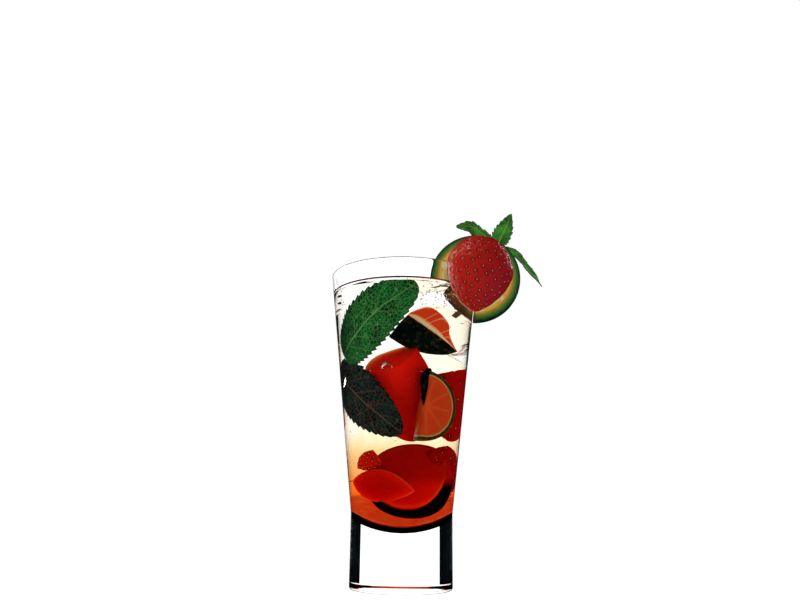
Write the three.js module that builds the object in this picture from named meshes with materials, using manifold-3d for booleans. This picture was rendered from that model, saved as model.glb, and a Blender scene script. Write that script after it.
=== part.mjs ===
// A mojito with strawberry in a heavy-footed conical highball glass.
// A lime wheel, a strawberry and a sprig of mint sit on the rim.
// Millimetres, +Z up. The origin is the middle of the glass's foot, and -Y is the front.
import * as THREE from "three";
import { mergeVertices } from "three/addons/utils/BufferGeometryUtils.js";
import Module from "manifold-3d";

const wasm = await Module();
wasm.setup();

// Driving sizes of the glass
const RIM_RADIUS = 40;
const GLASS_HEIGHT = 162.4;
const FOOT_RADIUS = 26;
const FOOT_HEIGHT = 37.3; // where the straight foot turns into the flaring bowl
const FOOT_ROUNDING = 3.4;
const WALL = 1.7;
const BOWL_FLOOR = 28.8; // solid glass under the middle of the round bowl bottom
const ROUND_STEPS = 64; // facets around the glass

// The drink
const DRINK_LEVEL = 151.5;
const GAP = 0.3; // clearance that neighbouring pieces keep
const SLIT_BOTTOM = 120; // the garnish is slit for the wall from below its own lowest point

// The lime wheel, cut to its middle and pushed over the rim
const LIME_RADIUS = 24.7;
const LIME_THICKNESS = 6;
const LIME_TURN = THREE.MathUtils.degToRad(-6); // place around the rim, towards the front
const LIME_HEIGHT = 161.5; // of its middle, which sits on the rim
const LIME_SPIN = 0.2; // turn about its own axis, in radians
const LIME_SEGMENTS = 9;
const STEPS_PER_SEGMENT = 6;
const FLESH_DIP = 0.45; // how far the flesh lies below its membranes

// The strawberry, slit on its inner side and pushed over the rim in front of the lime
const BERRY_WIDTH = 34.6;
const BERRY_DEPTH = 33;
const BERRY_LENGTH = 40.6;
const BERRY_CENTRE = new THREE.Vector3(38.2, -29, 157);
const BERRY_LEAN = THREE.MathUtils.degToRad(8); // the tip points a little to the left
const BERRY_TAPER = 0.35; // how much the lower half narrows
const BERRY_HOLLOW = 3.2; // depth of the hollow left by the cap of green leaves
const BERRY_SEEDS = 110;
const SEED_RADIUS = 0.62;
const GOLDEN_ANGLE = Math.PI * (3 - Math.sqrt(5));

// The mint sprig, which leans on the rim behind the lime
const STEM_RADIUS = 1.1;
const STEM_END = new THREE.Vector3(18.5, 11, 142.5);
const STEM_ON_RIM = new THREE.Vector3(38.6, 8.5, 166.4);
const STEM_TOP = new THREE.Vector3(52.4, 7, 183.4);
const LEAF_THICKNESS = 0.6;
const LEAF_TEETH = 8; // saw teeth along each edge
const STEPS_PER_TOOTH = 3;
const LEAF_COLUMNS = 4;

// Each leaf runs through the points of its midrib, and its blade opens along `side`.
const LEAVES = [
  {
    name: "mint_leaf_1",
    midrib: [
      [50.9, 8.0, 186.0],
      [45.4, 7.6, 192.0],
      [38.2, 5.0, 195.6],
      [29.3, 1.5, 194.4],
    ],
    side: [0.1, 0.66, 0.75],
    width: 13,
    fold: 0.22,
  },
  {
    name: "mint_leaf_2",
    midrib: [
      [53.6, 8.7, 186.0],
      [56.0, 10.5, 191.5],
      [59.6, 12.0, 199.0],
      [62.4, 12.5, 206.8],
    ],
    side: [0.93, 0.2, -0.3],
    width: 10.6,
    fold: 0.3,
  },
  {
    name: "mint_leaf_3",
    midrib: [
      [54.7, 7.6, 183.8],
      [61.0, 8.2, 181.6],
      [68.8, 6.4, 172.4],
      [77.2, 4.0, 160.0],
    ],
    side: [0.26, 0.95, 0.2],
    width: 11,
    fold: 0.2,
  },
];

const MATERIALS = {
  glass: new THREE.MeshStandardMaterial({
    color: "#e9f1f0",
    roughness: 0.04,
    metalness: 0,
    transparent: true,
    opacity: 0.35,
  }),
  drink: new THREE.MeshStandardMaterial({ color: "#c8341a", roughness: 0.1, metalness: 0 }),
  lime: new THREE.MeshStandardMaterial({ color: "#8fae3c", roughness: 0.45, metalness: 0 }),
  strawberry: new THREE.MeshStandardMaterial({ color: "#a5160f", roughness: 0.35, metalness: 0 }),
  leaf: new THREE.MeshStandardMaterial({ color: "#2f8a3a", roughness: 0.5, metalness: 0 }),
  stem: new THREE.MeshStandardMaterial({ color: "#5f8f3c", roughness: 0.5, metalness: 0 }),
};

// Turns a closed geometry into a solid for booleans.
function solidOf(geometry) {
  const bare = geometry.clone();
  bare.deleteAttribute("normal");
  bare.deleteAttribute("uv");
  const merged = mergeVertices(bare, 1e-3);
  return new wasm.Manifold(
    new wasm.Mesh({
      numProp: 3,
      vertProperties: new Float32Array(merged.attributes.position.array),
      triVerts: new Uint32Array(merged.index.array),
    }),
  );
}

// Turns a solid back into a geometry.
function geometryOf(solid) {
  const mesh = solid.getMesh();
  const geometry = new THREE.BufferGeometry()
    .setAttribute("position", new THREE.BufferAttribute(mesh.vertProperties, 3))
    .setIndex(new THREE.BufferAttribute(mesh.triVerts, 1));
  geometry.computeVertexNormals();
  return geometry;
}

// A cut can free a crumb, such as half a seed: only the largest body is kept.
function largestBody(solid) {
  return solid.decompose().reduce((a, b) => (a.volume() > b.volume() ? a : b));
}

// Revolves a profile of (radius, height) points about the Z axis.
function turned(profile, steps = ROUND_STEPS) {
  return new THREE.LatheGeometry(profile, steps).rotateX(Math.PI / 2);
}

const point = (x, y) => new THREE.Vector2(x, y);

// Points on an arc in the profile plane, first and last included.
function arc(centre, radius, from, to, steps) {
  return Array.from({ length: steps + 1 }, (_, i) => {
    const a = from + ((to - from) * i) / steps;
    return point(centre.x + radius * Math.cos(a), centre.y + radius * Math.sin(a));
  });
}

const FLARE = (RIM_RADIUS - FOOT_RADIUS) / (GLASS_HEIGHT - FOOT_HEIGHT);
const FLARE_ANGLE = Math.atan(FLARE);
const outerRadiusAt = (z) => FOOT_RADIUS + FLARE * (z - FOOT_HEIGHT);
const innerRadiusAt = (z) => outerRadiusAt(z) - WALL;

// The bowl ends in a sphere that runs smoothly into the wall. A sphere that stands on the height
// `floor` touches the wall's line, shifted inwards by `inset`, where the two have the same slope.
function bowlSphere(floor, inset) {
  const wallAtFloor = innerRadiusAt(floor) - inset;
  const radius =
    wallAtFloor / (Math.cos(FLARE_ANGLE) - FLARE * (1 - Math.sin(FLARE_ANGLE)));
  return { centre: point(0, floor + radius), radius };
}

// The inside of the bowl from the wall down to the axis, shifted inwards by `inset`.
function bowlLine(inset, steps) {
  const { centre, radius } = bowlSphere(BOWL_FLOOR + inset, inset);
  return arc(centre, radius, -FLARE_ANGLE, -Math.PI / 2, steps).map((p) =>
    point(Math.max(p.x, 0), p.y),
  );
}

function glassGeometry() {
  const rimRadius = WALL / 2;
  const rimTop = GLASS_HEIGHT - rimRadius;
  const rimCentre = point(outerRadiusAt(rimTop) - rimRadius, rimTop);
  const footCorner = point(FOOT_RADIUS - FOOT_ROUNDING, FOOT_ROUNDING);
  const profile = [
    point(0, 0),
    ...arc(footCorner, FOOT_ROUNDING, -Math.PI / 2, 0, 5),
    point(FOOT_RADIUS, FOOT_HEIGHT),
    ...arc(rimCentre, rimRadius, 0, Math.PI, 5),
    ...bowlLine(0, 12),
  ];
  profile[profile.length - 1] = point(0, BOWL_FLOOR);
  return turned(profile);
}

// The upper part of the wall, thickened by the gap: what the garnish is slit for.
function rimSlit() {
  const top = GLASS_HEIGHT + GAP;
  return solidOf(
    turned([
      point(innerRadiusAt(SLIT_BOTTOM) - GAP, SLIT_BOTTOM),
      point(outerRadiusAt(SLIT_BOTTOM) + GAP, SLIT_BOTTOM),
      point(outerRadiusAt(top) + GAP, top),
      point(innerRadiusAt(top) - GAP, top),
      point(innerRadiusAt(SLIT_BOTTOM) - GAP, SLIT_BOTTOM),
    ]),
  );
}

// How far the face of the lime lies below full thickness: the flesh dips between raised membranes.
function limeDip(radius, angle) {
  const share = radius / LIME_RADIUS;
  if (share < 0.12 || share > 0.8) return 0;
  const turn = ((angle / (2 * Math.PI)) * LIME_SEGMENTS) % 1;
  const fromMembrane = Math.min(turn, 1 - turn) * 2;
  return FLESH_DIP * Math.min(1, fromMembrane * 3);
}

// The lime wheel, `grow` mm larger all over. Its own axis is Y.
function limeGeometry(grow) {
  const half = LIME_THICKNESS / 2 + grow;
  const radius = LIME_RADIUS + grow;
  const face = [0.12, 0.2, 0.5, 0.76, 0.82, 0.94].map((share) => share * radius);
  const profile = [
    point(0, -half),
    ...face.map((r) => point(r, -half)),
    point(radius * 0.985, -half * 0.72),
    point(radius, -half * 0.3),
    point(radius, half * 0.3),
    point(radius * 0.985, half * 0.72),
    ...face.toReversed().map((r) => point(r, half)),
    point(0, half),
  ];
  const geometry = new THREE.LatheGeometry(profile, LIME_SEGMENTS * STEPS_PER_SEGMENT);
  const position = geometry.attributes.position;
  for (let i = 0; i < position.count && grow === 0; i += 1) {
    const r = Math.hypot(position.getX(i), position.getZ(i));
    const angle = Math.atan2(position.getX(i), position.getZ(i)) + 2 * Math.PI;
    const y = position.getY(i);
    position.setY(i, y - Math.sign(y) * limeDip(r, angle));
  }
  return geometry.rotateY(LIME_SPIN);
}

function limeSolid(grow) {
  const reach = RIM_RADIUS - WALL / 2;
  const geometry = limeGeometry(grow).rotateZ(LIME_TURN);
  geometry.translate(reach * Math.cos(LIME_TURN), reach * Math.sin(LIME_TURN), LIME_HEIGHT);
  return solidOf(geometry);
}

// A point of the strawberry's skin. `down` is the angle from its top, 0 to PI, and `around` turns about
// its axis. The widest part lies above the middle, the lower half tapers, and the top has a hollow.
function berrySkin(down, around, grow) {
  const c = Math.cos(down);
  const taper = 1 - BERRY_TAPER * Math.max(0, 0.1 - c) ** 1.5;
  const lobes = 1 + 0.018 * Math.sin(3 * around + 1) * Math.sin(down) ** 2;
  const across = Math.sin(down) * taper * lobes;
  const hollow = BERRY_HOLLOW * Math.exp(-((down / 0.26) ** 2));
  return new THREE.Vector3(
    (BERRY_WIDTH / 2 + grow) * across * Math.cos(around),
    (BERRY_DEPTH / 2 + grow) * across * Math.sin(around),
    (BERRY_LENGTH / 2 + grow) * c - (grow === 0 ? hollow : 0),
  );
}

function berryGeometry(grow, aroundSteps, downSteps) {
  const geometry = new THREE.SphereGeometry(1, aroundSteps, downSteps).rotateX(Math.PI / 2);
  const position = geometry.attributes.position;
  for (let i = 0; i < position.count; i += 1) {
    const down = Math.acos(THREE.MathUtils.clamp(position.getZ(i), -1, 1));
    const around = Math.atan2(position.getY(i), position.getX(i));
    const skin = berrySkin(down, around, grow);
    position.setXYZ(i, skin.x, skin.y, skin.z);
  }
  return geometry;
}

function placeBerry(geometry) {
  return geometry
    .rotateY(BERRY_LEAN)
    .translate(BERRY_CENTRE.x, BERRY_CENTRE.y, BERRY_CENTRE.z);
}

// Seeds follow a golden-angle spiral, which spreads them evenly over the skin.
function berrySeed(index) {
  const down = Math.acos(0.93 - (1.9 * (index + 0.5)) / BERRY_SEEDS);
  const around = index * GOLDEN_ANGLE;
  const skin = berrySkin(down, around, 0);
  const seed = new THREE.OctahedronGeometry(SEED_RADIUS, 0).scale(0.75, 0.55, 1);
  return seed.rotateZ(around + Math.PI / 2).translate(skin.x, skin.y, skin.z);
}

function berrySolid() {
  let berry = solidOf(placeBerry(berryGeometry(0, 44, 26)));
  for (let i = 0; i < BERRY_SEEDS; i += 1) {
    berry = berry.add(solidOf(placeBerry(berrySeed(i))));
  }
  return berry;
}

const stemPath = new THREE.CatmullRomCurve3([STEM_END, STEM_ON_RIM, STEM_TOP]);

// Mint has a square stem with rounded corners.
function stemGeometry(grow) {
  const sides = 8;
  const outline = new THREE.Shape(
    Array.from({ length: sides }, (_, i) => {
      const a = ((i + 0.5) / sides) * 2 * Math.PI;
      return point((STEM_RADIUS + grow) * Math.cos(a), (STEM_RADIUS + grow) * Math.sin(a));
    }),
  );
  return new THREE.ExtrudeGeometry(outline, { extrudePath: stemPath, steps: 14 });
}

// A leaf as a thin solid. Its two faces are the same grid, `LEAF_THICKNESS` apart, joined by a border.
function leafGeometry({ midrib, side, width, fold }) {
  const spine = new THREE.CatmullRomCurve3(midrib.map((p) => new THREE.Vector3(...p)));
  const rows = LEAF_TEETH * STEPS_PER_TOOTH;
  const positions = [];
  for (const face of [1, -1]) {
    for (let i = 0; i <= rows; i += 1) {
      const t = i / rows;
      const centre = spine.getPoint(t);
      const along = spine.getTangent(t);
      const across = new THREE.Vector3(...side);
      across.addScaledVector(along, -across.dot(along)).normalize();
      const out = new THREE.Vector3().crossVectors(along, across);
      const blade = Math.sin(Math.PI * t ** 0.85) ** 0.8 * (1 - 0.15 * t);
      const tooth = 1 + 0.09 * ((i % STEPS_PER_TOOTH) / (STEPS_PER_TOOTH - 1) - 0.5);
      const half = Math.max(0.5, (width / 2) * blade * tooth);
      for (let j = 0; j <= LEAF_COLUMNS; j += 1) {
        const v = (2 * j) / LEAF_COLUMNS - 1;
        const wave = 0.35 * Math.sin(5 * Math.PI * t + 1.3 * v) * Math.abs(v);
        const lift = fold * half * Math.abs(v) + wave + (face * LEAF_THICKNESS) / 2;
        const p = centre.clone().addScaledVector(across, v * half).addScaledVector(out, lift);
        positions.push(p.x, p.y, p.z);
      }
    }
  }
  const columns = LEAF_COLUMNS + 1;
  const under = (rows + 1) * columns;
  const at = (i, j) => i * columns + j;
  const triangles = [];
  for (let i = 0; i < rows; i += 1) {
    for (let j = 0; j < LEAF_COLUMNS; j += 1) {
      const [a, b, c, d] = [at(i, j), at(i + 1, j), at(i + 1, j + 1), at(i, j + 1)];
      triangles.push(a, b, c, a, c, d);
      triangles.push(under + a, under + c, under + b, under + a, under + d, under + c);
    }
  }
  const border = [];
  for (let j = 0; j < LEAF_COLUMNS; j += 1) border.push(at(0, j));
  for (let i = 0; i < rows; i += 1) border.push(at(i, LEAF_COLUMNS));
  for (let j = LEAF_COLUMNS; j > 0; j -= 1) border.push(at(rows, j));
  for (let i = rows; i > 0; i -= 1) border.push(at(i, 0));
  border.forEach((a, k) => {
    const b = border[(k + 1) % border.length];
    triangles.push(a, b, under + b, a, under + b, under + a);
  });
  return new THREE.BufferGeometry()
    .setAttribute("position", new THREE.Float32BufferAttribute(positions, 3))
    .setIndex(triangles);
}

// The drink fills the bowl to its level and is cut round whatever dips into it.
function drinkSolid() {
  const wallTop = point(innerRadiusAt(DRINK_LEVEL) - GAP, DRINK_LEVEL);
  const profile = [
    point(0, DRINK_LEVEL),
    wallTop,
    ...bowlLine(GAP, 10),
  ].toReversed();
  profile[0] = point(0, BOWL_FLOOR + GAP);
  return solidOf(turned(profile))
    .subtract(limeSolid(GAP))
    .subtract(solidOf(placeBerry(berryGeometry(0.8, 32, 20))))
    .subtract(solidOf(stemGeometry(GAP)));
}

const part = new THREE.Group();

function addPiece(name, geometry, material) {
  const mesh = new THREE.Mesh(geometry, material);
  mesh.name = name;
  part.add(mesh);
}

const slit = rimSlit();
addPiece("glass", glassGeometry(), MATERIALS.glass);
addPiece("drink", geometryOf(largestBody(drinkSolid())), MATERIALS.drink);
addPiece("lime_wheel", geometryOf(largestBody(limeSolid(0).subtract(slit))), MATERIALS.lime);
addPiece("strawberry", geometryOf(largestBody(berrySolid().subtract(slit))), MATERIALS.strawberry);
addPiece("mint_stem", stemGeometry(0), MATERIALS.stem);
for (const leaf of LEAVES) {
  addPiece(leaf.name, leafGeometry(leaf), MATERIALS.leaf);
}

export default part;
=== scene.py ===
# %% [markdown]
# # A strawberry mojito in a heavy-footed glass
# This lesson dresses a plain model of a long drink until it looks like the real one. The model has eight
# pieces: the glass, the drink, and on the rim a lime wheel, a strawberry and a sprig of mint. We load them
# as a fixed frame, give each one a finer surface, and then add what swims under the surface.

import bmesh
import bpy
import numpy as np
from mathutils import Euler, Matrix, Vector


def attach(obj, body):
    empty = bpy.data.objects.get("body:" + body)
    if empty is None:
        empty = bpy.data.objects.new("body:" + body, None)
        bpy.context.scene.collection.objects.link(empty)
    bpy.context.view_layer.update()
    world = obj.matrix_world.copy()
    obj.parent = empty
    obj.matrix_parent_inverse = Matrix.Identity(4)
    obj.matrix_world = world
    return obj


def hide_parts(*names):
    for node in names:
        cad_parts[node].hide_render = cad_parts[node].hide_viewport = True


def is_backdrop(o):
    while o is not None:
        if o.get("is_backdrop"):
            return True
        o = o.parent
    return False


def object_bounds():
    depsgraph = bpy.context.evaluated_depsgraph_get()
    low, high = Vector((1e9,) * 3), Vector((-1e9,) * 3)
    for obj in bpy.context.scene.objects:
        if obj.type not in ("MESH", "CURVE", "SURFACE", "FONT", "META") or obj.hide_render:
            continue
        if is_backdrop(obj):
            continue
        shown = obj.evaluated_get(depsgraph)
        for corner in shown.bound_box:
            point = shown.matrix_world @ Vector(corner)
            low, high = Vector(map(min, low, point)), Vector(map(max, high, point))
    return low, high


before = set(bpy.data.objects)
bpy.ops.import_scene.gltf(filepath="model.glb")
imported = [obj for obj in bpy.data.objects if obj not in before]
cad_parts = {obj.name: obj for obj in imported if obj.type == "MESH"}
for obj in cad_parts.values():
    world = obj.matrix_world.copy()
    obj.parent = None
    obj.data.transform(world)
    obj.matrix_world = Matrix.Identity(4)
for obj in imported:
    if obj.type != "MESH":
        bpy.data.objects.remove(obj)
cad_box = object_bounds()
scene = bpy.context.scene
print("nodes:", sorted(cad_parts))

# %% [markdown]
# ## Helpers for shapes
# Every piece is a surface over a grid: a formula gives one point for each pair of parameters, and numpy
# works out all points at once. The faces of such a grid always follow the same rule, so one function
# makes them for all pieces. Sizes are in millimetres until the last step, because that is how one thinks
# about a glass.

# %% Faces of a grid
MM = 0.001


def grid_faces(rows, columns, around=False):
    """Four corner numbers for each cell of a grid. With `around`, the last column joins the first."""
    cells = columns if around else columns - 1
    i, j = np.meshgrid(np.arange(rows - 1), np.arange(cells), indexing="ij")
    k = (j + 1) % columns
    corners = [i * columns + j, i * columns + k, (i + 1) * columns + k, (i + 1) * columns + j]
    return np.stack(corners, -1).reshape(-1, 4)


def repeated(cells, each, count):
    """The faces of equal grids whose points follow one another, `each` of them to a grid."""
    return (cells[None] + each * np.arange(count)[:, None, None]).reshape(-1, 4)


# %% [markdown]
# A pole, such as the bottom of a berry, is a whole row of equal points. Merging them closes the pole, and
# after that the normals are worked out again, so that every face points outwards. Numbers that a material
# needs, such as the distance from a leaf's midrib, travel along as attributes of the points.

# %% Make a mesh from points and faces
def make_piece(name, points, faces, attributes=None):
    """Puts points (in millimetres) and faces into a smooth mesh, merges doubles and turns faces outwards."""
    mesh = bpy.data.meshes.new(name)
    mesh.from_pydata(np.asarray(points).reshape(-1, 3) * MM, [], np.asarray(faces).tolist())
    for key, values in (attributes or {}).items():
        layer = mesh.attributes.new(key, "FLOAT", "POINT")
        layer.data.foreach_set("value", np.asarray(values, np.float32).ravel())
    shell = bmesh.new()
    shell.from_mesh(mesh)
    bmesh.ops.remove_doubles(shell, verts=shell.verts, dist=2e-6)
    bmesh.ops.recalc_face_normals(shell, faces=shell.faces)
    shell.to_mesh(mesh)
    shell.free()
    mesh.shade_smooth()
    piece = bpy.data.objects.new(name, mesh)
    scene.collection.objects.link(piece)
    return piece


def finish_piece(piece, material, slot, *replaced):
    """Gives a piece its material, lets it ride on the glass, and hides the nodes it stands for. `slot` is
    not used.
    """
    piece.data.materials.append(material)
    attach(piece, "root")
    if replaced:
        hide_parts(*replaced)
    print(piece.name, len(piece.data.polygons), "faces")


# %% [markdown]
# The glass and the drink are turned: an outline of arcs and straight lines goes once round the axis. A piece
# that stands askew is made level first, then turned and moved to its place.

# %% Profiles and turned shapes
def arc(centre, radius, start, stop, count):
    """Points on a circle: the centre plus radius times (cos a, sin a), with a running from start to stop."""
    a = np.linspace(start, stop, count)
    return np.stack([centre[0] + radius * np.cos(a), centre[1] + radius * np.sin(a)], -1)


def line(start, stop, count):
    """Evenly spaced points from start to stop, without the last one."""
    t = np.linspace(0, 1, count, endpoint=False)[:, None]
    return np.asarray(start) * (1 - t) + np.asarray(stop) * t


def turned(profile, steps):
    """Revolves (radius, height) rows about Z: x = radius cos a, y = radius sin a, z = height."""
    a = np.linspace(0, 2 * np.pi, steps, endpoint=False)
    radius, height = profile[:, :1], profile[:, 1:]
    return np.stack([radius * np.cos(a), radius * np.sin(a), height + 0 * a], -1)


def placed(points, centre, turn):
    """Turns points by Euler angles in degrees about X, then Y, then Z, and moves them to a centre."""
    matrix = np.array(Euler(np.radians(turn)).to_matrix())
    return points @ matrix.T + np.asarray(centre)


def upright(points, centre, turn):
    """Stands a flat piece up with its face to the front, and then places it as `placed` does."""
    return placed(placed(points, (0, 0, 0), (90, 0, 0)), centre, turn)


# %% [markdown]
# Nothing that grows or melts is even. A sum of a few sine waves that run in random directions gives a soft
# unevenness of a chosen size. The seed is fixed, so each run gives the same shape.

# %% Unevenness
def uneven(points, size, seed):
    """A soft random field from -1 to 1: six sine waves about `size` mm long in random directions."""
    draw = np.random.default_rng(seed)
    way = draw.normal(size=(6, 3))
    way /= np.linalg.norm(way, axis=1, keepdims=True)
    pitch = 2 * np.pi / (size * draw.uniform(0.7, 1.5, 6))
    shift = draw.uniform(0, 2 * np.pi, 6)
    return np.sin((points @ way.T) * pitch + shift).mean(-1) * 2


# %% [markdown]
# ## Helpers for materials
# Colours are written as they are read off a screen, in sRGB, and Blender wants them linear. One function
# adds a shader node: its settings, the values of its sockets, and the links that come into it. The nodes
# that nearly every material needs, such as sums, mixed colours and noise, get a short word each.

# %% Colour and node helpers
def linear(hexadecimal):
    """An sRGB colour such as "8a1208" as linear red, green, blue and alpha."""
    srgb = np.array([int(hexadecimal[i : i + 2], 16) for i in (0, 2, 4)]) / 255
    low, high = srgb / 12.92, ((srgb + 0.055) / 1.055) ** 2.4
    return (*np.where(srgb <= 0.04045, low, high).tolist(), 1.0)


def add(tree, kind, inputs=None, stops=None, **settings):
    """Adds a node of a kind. `inputs` gives sockets a value or a link, `stops` fills a colour ramp."""
    node = tree.nodes.new("ShaderNode" + kind)
    for key, value in settings.items():
        setattr(node, key, value)
    for key, value in (inputs or {}).items():
        if isinstance(value, bpy.types.NodeSocket):
            tree.links.new(value, node.inputs[key])
        else:
            node.inputs[key].default_value = value
    ramp = node.color_ramp.elements if stops else []
    for i, (place, colour) in enumerate(stops or []):
        stop = ramp[i] if i < len(ramp) else ramp.new(place)
        stop.position = place
        stop.color = linear(colour)
    return node


def maths(tree, operation, *values):
    """The result of an operation on numbers or links."""
    return add(tree, "Math", dict(enumerate(values)), operation=operation).outputs[0]


def mixed(tree, share, below, above):
    """A colour between two: all `below` where the share is 0, all `above` where it is 1."""
    return add(tree, "Mix", {0: share, 6: below, 7: above}, data_type="RGBA").outputs[2]


def ramp(tree, number, stops):
    """The colour that the stops give to a number."""
    return add(tree, "ValToRGB", {"Fac": number}, stops=stops).outputs[0]


def mark(tree, name):
    """The number that each point of a piece carries under a name."""
    return add(tree, "Attribute", attribute_name=name).outputs["Fac"]


def noise(tree, scale, detail=2.0):
    """Cloudy noise that sticks to the object. The scale is in patches per metre."""
    place = add(tree, "TexCoord").outputs["Object"]
    return add(tree, "TexNoise", {"Vector": place, "Scale": scale, "Detail": detail}).outputs[0]


def axes(tree):
    """The place in the object along X, Y and Z, in metres."""
    return add(tree, "SeparateXYZ", {0: add(tree, "TexCoord").outputs["Object"]}).outputs


def new_material(name):
    """A material with an empty node tree and its output node."""
    material = bpy.data.materials.new(name)
    material.use_nodes = True
    material.node_tree.nodes.clear()
    output = add(material.node_tree, "OutputMaterial")
    return material, material.node_tree, output


# %% [markdown]
# ## Camera
# The picture is taken from table height with the lens tipped up, from 400 mm in front of the glass. So the
# near edge of the rim stands above the far one, and one looks at the drink's surface from below.

# %% Set the camera
CAMERA_PLACE = (-2.285, -400.0, 42.33)  # mm
CAMERA_PITCH = 15.07  # degrees above the horizon
CAMERA_ROLL = 0.013  # radians
FOCAL_PIXELS = 749.1  # focal length in pixels of the 800 pixel wide picture
SENSOR_WIDTH = 36.0
PICTURE_WIDTH = 800

camera = bpy.data.objects.new("camera", bpy.data.cameras.new("camera"))
camera.data.sensor_width = SENSOR_WIDTH
camera.data.lens = FOCAL_PIXELS * SENSOR_WIDTH / PICTURE_WIDTH
camera.data.clip_start = 0.01
camera.matrix_world = (
    Matrix.Translation(np.array(CAMERA_PLACE) * MM)
    @ Matrix.Rotation(np.radians(90 + CAMERA_PITCH), 4, "X")
    @ Matrix.Rotation(CAMERA_ROLL, 4, "Z")
)
scene.collection.objects.link(camera)
scene.camera = camera
bpy.context.view_layer.update()
print("lens", round(camera.data.lens, 2), "mm")

# %% [markdown]
# ## Light
# Clear glass has no colour of its own: one sees what it bends into view. Photographers therefore stand a
# bright card behind it and keep the sides dark. Rays through the middle reach the card and look white,
# and rays that the edges bend sideways miss it and draw the black outlines. The sky does the rest: white
# for the eye, soft light for matt things, and dark for what has passed glass or bounced off a gloss.

# %% The sky
SKY_FILL = 0.65

sky = bpy.data.worlds.new("studio")
scene.world = sky
sky.use_nodes = True
sky.node_tree.nodes.clear()
tree = sky.node_tree
path = add(tree, "LightPath")
fill = add(tree, "Background", {"Color": linear("ffffff"), "Strength": SKY_FILL})
night = add(tree, "Background", {"Color": linear("05090c"), "Strength": 1.0})
seen = add(tree, "Background", {"Color": linear("ffffff"), "Strength": 1.0})
lit = add(tree, "MixShader", {0: path.outputs["Is Diffuse Ray"], 1: night.outputs[0], 2: fill.outputs[0]})
whole = add(tree, "MixShader", {0: path.outputs["Is Camera Ray"], 1: lit.outputs[0], 2: seen.outputs[0]})
add(tree, "OutputWorld", {"Surface": whole.outputs[0]})
scene.view_settings.view_transform = "Standard"
scene.cycles.transmission_bounces = 16
scene.cycles.max_bounces = 18

# %% [markdown]
# Three cards are bent round the back of the glass. The one behind the foot is narrow: a ray through 0.83 of
# the foot's radius is turned by about 41 degrees, and there the black bands begin. The one above is wide
# and keeps the drink bright up to its edges, and a wide one below is what the drink's surface mirrors. They
# hang on the camera, so every side looks the same.

# %% The bright cards behind the glass
CARD_STRENGTH = 1.45
CARD_DISTANCE = 1500.0  # from the axis of the glass
CARDS = {
    "upper_card": dict(side=(-66, 66), low=12, high=1050),
    "foot_card": dict(side=(-33, 38.2), low=-230, high=12),
    "lower_card": dict(side=(-66, 66), low=-420, high=-230),
}


def hang_on_camera(thing):
    """Parents a thing to the camera where it stands, so that it goes round the object with it."""
    thing.parent = camera
    thing.matrix_parent_inverse = camera.matrix_world.inverted()


def bright_card(name, side, low, high):
    """Part of an upright cylinder behind the glass: x = d sin a, y = d cos a, a from side to side."""
    a = np.radians(np.linspace(*side, 33))
    ring = CARD_DISTANCE * np.stack([np.sin(a), np.cos(a)], -1)
    points = np.concatenate([np.column_stack([ring, 0 * a + z]) for z in (low, high)])
    mesh = bpy.data.meshes.new(name)
    mesh.from_pydata(points * MM, [], grid_faces(2, len(a)).tolist())
    mesh.materials.append(glow)
    card = bpy.data.objects.new(name, mesh)
    scene.collection.objects.link(card)
    card.visible_camera = False
    card.visible_glossy = False
    hang_on_camera(card)
    card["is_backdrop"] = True
    print(name, "from", low, "to", high, "mm")


glow, tree, output = new_material("bright card")
shine = add(tree, "Emission", {"Color": linear("ffffff"), "Strength": CARD_STRENGTH})
tree.links.new(shine.outputs[0], output.inputs["Surface"])
for name, card in CARDS.items():
    bright_card(name, **card)

# %% [markdown]
# Four lamps shape what is not clear. A soft one overhead gives the berry and the leaves their gloss, two
# narrow ones behind draw bright edges, and a small one on the left leaves one short glint on the glass wall.

# %% Lamps
def add_lamp(name, place, aim, size, watts):
    """A rectangular soft lamp at a place (mm) that looks at an aim (mm)."""
    light = bpy.data.lights.new(name, "AREA")
    light.shape = "RECTANGLE"
    light.size, light.size_y = size[0] * MM, size[1] * MM
    light.energy = watts
    lamp = bpy.data.objects.new(name, light)
    turn = Vector(np.subtract(place, aim)).to_track_quat("Z", "Y").to_matrix().to_4x4()
    lamp.matrix_world = Matrix.Translation(np.array(place) * MM) @ turn
    lamp.visible_camera = False
    lamp.visible_transmission = False
    scene.collection.objects.link(lamp)
    hang_on_camera(lamp)


add_lamp("overhead", (-150, -40, 560), (20, 0, 150), (120, 120), 0.25)
add_lamp("left_edge", (-330, 330, 480), (30, -20, 160), (16, 220), 0.25)
add_lamp("right_edge", (420, 300, 450), (40, -20, 160), (16, 220), 0.2)
add_lamp("glint", (-390, 331, 138), (-30, -14, 102), (80, 5), 0.03)

# %% [markdown]
# The floor is a round white sheet that glows, like a lit table. Rays that have passed the glass go through
# it to the cards.

# %% The floor
FLOOR_RADIUS = 690.0

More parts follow.
